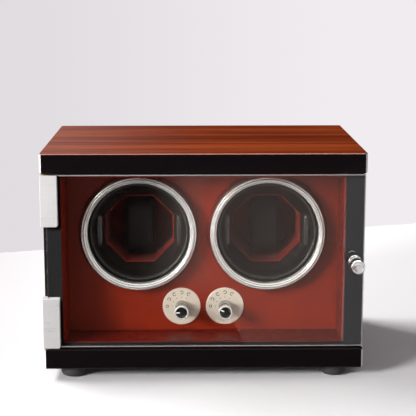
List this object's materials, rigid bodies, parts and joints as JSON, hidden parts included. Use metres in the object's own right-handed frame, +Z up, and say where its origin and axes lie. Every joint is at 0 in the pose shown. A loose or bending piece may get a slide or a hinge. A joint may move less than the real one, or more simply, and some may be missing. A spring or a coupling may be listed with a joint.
{
  "type": "watch winder box",
  "caption": "Glass-fronted lacquered box on rubber feet with side-by-side motor-turned drums for winding watches, mode selectors and a left-hinged door.",
  "frame": {"origin": "centre of the underside of the whole box's bounding box, on the surface the feet stand on", "axes": "+X to the right seen from the front, +Y from the door to the rear cover, +Z up"},
  "size_m": [0.262, 0.2, 0.187],
  "materials": {
    "board_lacquer": "gloss lacquer",
    "top_rosewood": "high-gloss lacquered veneer",
    "side_rosewood": "high-gloss lacquered veneer",
    "rear_board": "satin black",
    "liner_leather": "fine grain",
    "panel_leather": "fine grain",
    "ring_chrome": "polished",
    "sleeve_black": "satin",
    "dial_metal": "fine brushed",
    "selector_chrome": "dark polished",
    "switch_black": "matte",
    "drum_gloss": "piano black",
    "shell_black": "satin",
    "clip_gloss": "polished",
    "pocket_red": "flocked",
    "cushion_leather": "soft fine grain",
    "shaft_steel": "ground",
    "pulley_acetal": "smooth",
    "belt_rubber": "smooth",
    "motor_steel": "plated",
    "bearing_bronze": "oiled",
    "plate_wood": "sanded fibreboard",
    "circuit_green": "solder mask",
    "component_black": "moulded",
    "standoff_nylon": "moulded",
    "jack_black": "moulded",
    "lead_red": "smooth",
    "screw_steel": "plated",
    "foot_rubber": "smooth",
    "pivot_brass": "turned",
    "magnet_nickel": "plated",
    "bumper_clear": "translucent",
    "door_glass": "polished clear",
    "border_enamel": "printed enamel",
    "hinge_satin": "satin plated",
    "hinge_screw_steel": "plated",
    "door_knob_chrome": "polished"
  },
  "bodies": {
    "case": {"bezel_ring_left": "ring_chrome", "bezel_ring_right": "ring_chrome", "board_components": "component_black", "board_standoffs": "standoff_nylon", "bottom_board": "board_lacquer", "catch_magnet": "magnet_nickel", "control_board": "circuit_green", "dial_plates": "dial_metal", "door_bumpers": "bumper_clear", "drive_belt_left": "belt_rubber", "drive_belt_right": "belt_rubber", "drum_panel": "panel_leather", "drum_sleeves": "sleeve_black", "gear_motor_left": "motor_steel", "gear_motor_right": "motor_steel", "liner_ceiling": "liner_leather", "liner_floor": "liner_leather", "liner_left": "liner_leather", "liner_right": "liner_leather", "machine_screws": "screw_steel", "mechanism_plate": "plate_wood", "pivot_bushes": "pivot_brass", "power_jack": "jack_black", "rear_cover": "rear_board", "ring_welts": "panel_leather", "rubber_feet": "foot_rubber", "selector_switches": "switch_black", "shaft_bushes": "bearing_bronze", "side_panel_left": "side_rosewood", "side_panel_right": "side_rosewood", "top_board": "board_lacquer", "top_veneer": "top_rosewood", "wiring": "lead_red", "wood_screws": "screw_steel"},
    "door": {"door_glass": "door_glass", "glass_border": "border_enamel", "hinge_clamp_upper": "hinge_satin", "hinge_clamp_lower": "hinge_satin", "hinge_screws": "hinge_screw_steel", "door_knob": "door_knob_chrome", "knob_screw": "door_knob_chrome"},
    "left_selector": {"selector_knob_left": "selector_chrome"},
    "right_selector": {"selector_knob_right": "selector_chrome"},
    "left_motor_pulley": {"motor_pulley_left": "pulley_acetal"},
    "right_motor_pulley": {"motor_pulley_right": "pulley_acetal"},
    "left_drum": {"drum_shell_left": "shell_black", "drum_insert_left": "drum_gloss", "drum_clips_left": "clip_gloss", "pocket_lining_left": "pocket_red", "cushion_left": "cushion_leather", "drum_shaft_left": "shaft_steel", "drum_pulley_left": "pulley_acetal"},
    "right_drum": {"drum_shell_right": "shell_black", "drum_insert_right": "drum_gloss", "drum_clips_right": "clip_gloss", "pocket_lining_right": "pocket_red", "cushion_right": "cushion_leather", "drum_shaft_right": "shaft_steel", "drum_pulley_right": "pulley_acetal"}
  },
  "joints": [
    {"name": "door_hinge", "type": "hinge", "parent": "case", "child": "door", "pos_m": [-0.1275, -0.0755, 0.09775], "axis": [0, 0, -1], "range_deg": [0, 110]},
    {"name": "left_drum_spin", "type": "hinge", "parent": "case", "child": "left_drum", "pos_m": [-0.0536, -0.02, 0.115], "axis": [0, 1, 0], "continuous": true},
    {"name": "left_motor_spin", "type": "hinge", "parent": "case", "child": "left_motor_pulley", "pos_m": [-0.0536, 0.054, 0.059], "axis": [0, 1, 0], "continuous": true},
    {"name": "right_drum_spin", "type": "hinge", "parent": "case", "child": "right_drum", "pos_m": [0.0536, -0.02, 0.115], "axis": [0, 1, 0], "continuous": true},
    {"name": "right_motor_spin", "type": "hinge", "parent": "case", "child": "right_motor_pulley", "pos_m": [0.0536, 0.054, 0.059], "axis": [0, 1, 0], "continuous": true},
    {"name": "left_selector_turn", "type": "hinge", "parent": "case", "child": "left_selector", "pos_m": [-0.0183, -0.044, 0.0505], "axis": [0, 1, 0], "range_deg": [0, 120]},
    {"name": "right_selector_turn", "type": "hinge", "parent": "case", "child": "right_selector", "pos_m": [0.0183, -0.044, 0.0505], "axis": [0, 1, 0], "range_deg": [-30, 90]}
  ],
  "couplings": [
    {"joint": "left_motor_spin", "follows": "left_drum_spin", "ratio": 4.8333},
    {"joint": "right_motor_spin", "follows": "right_drum_spin", "ratio": 4.8333}
  ]
}
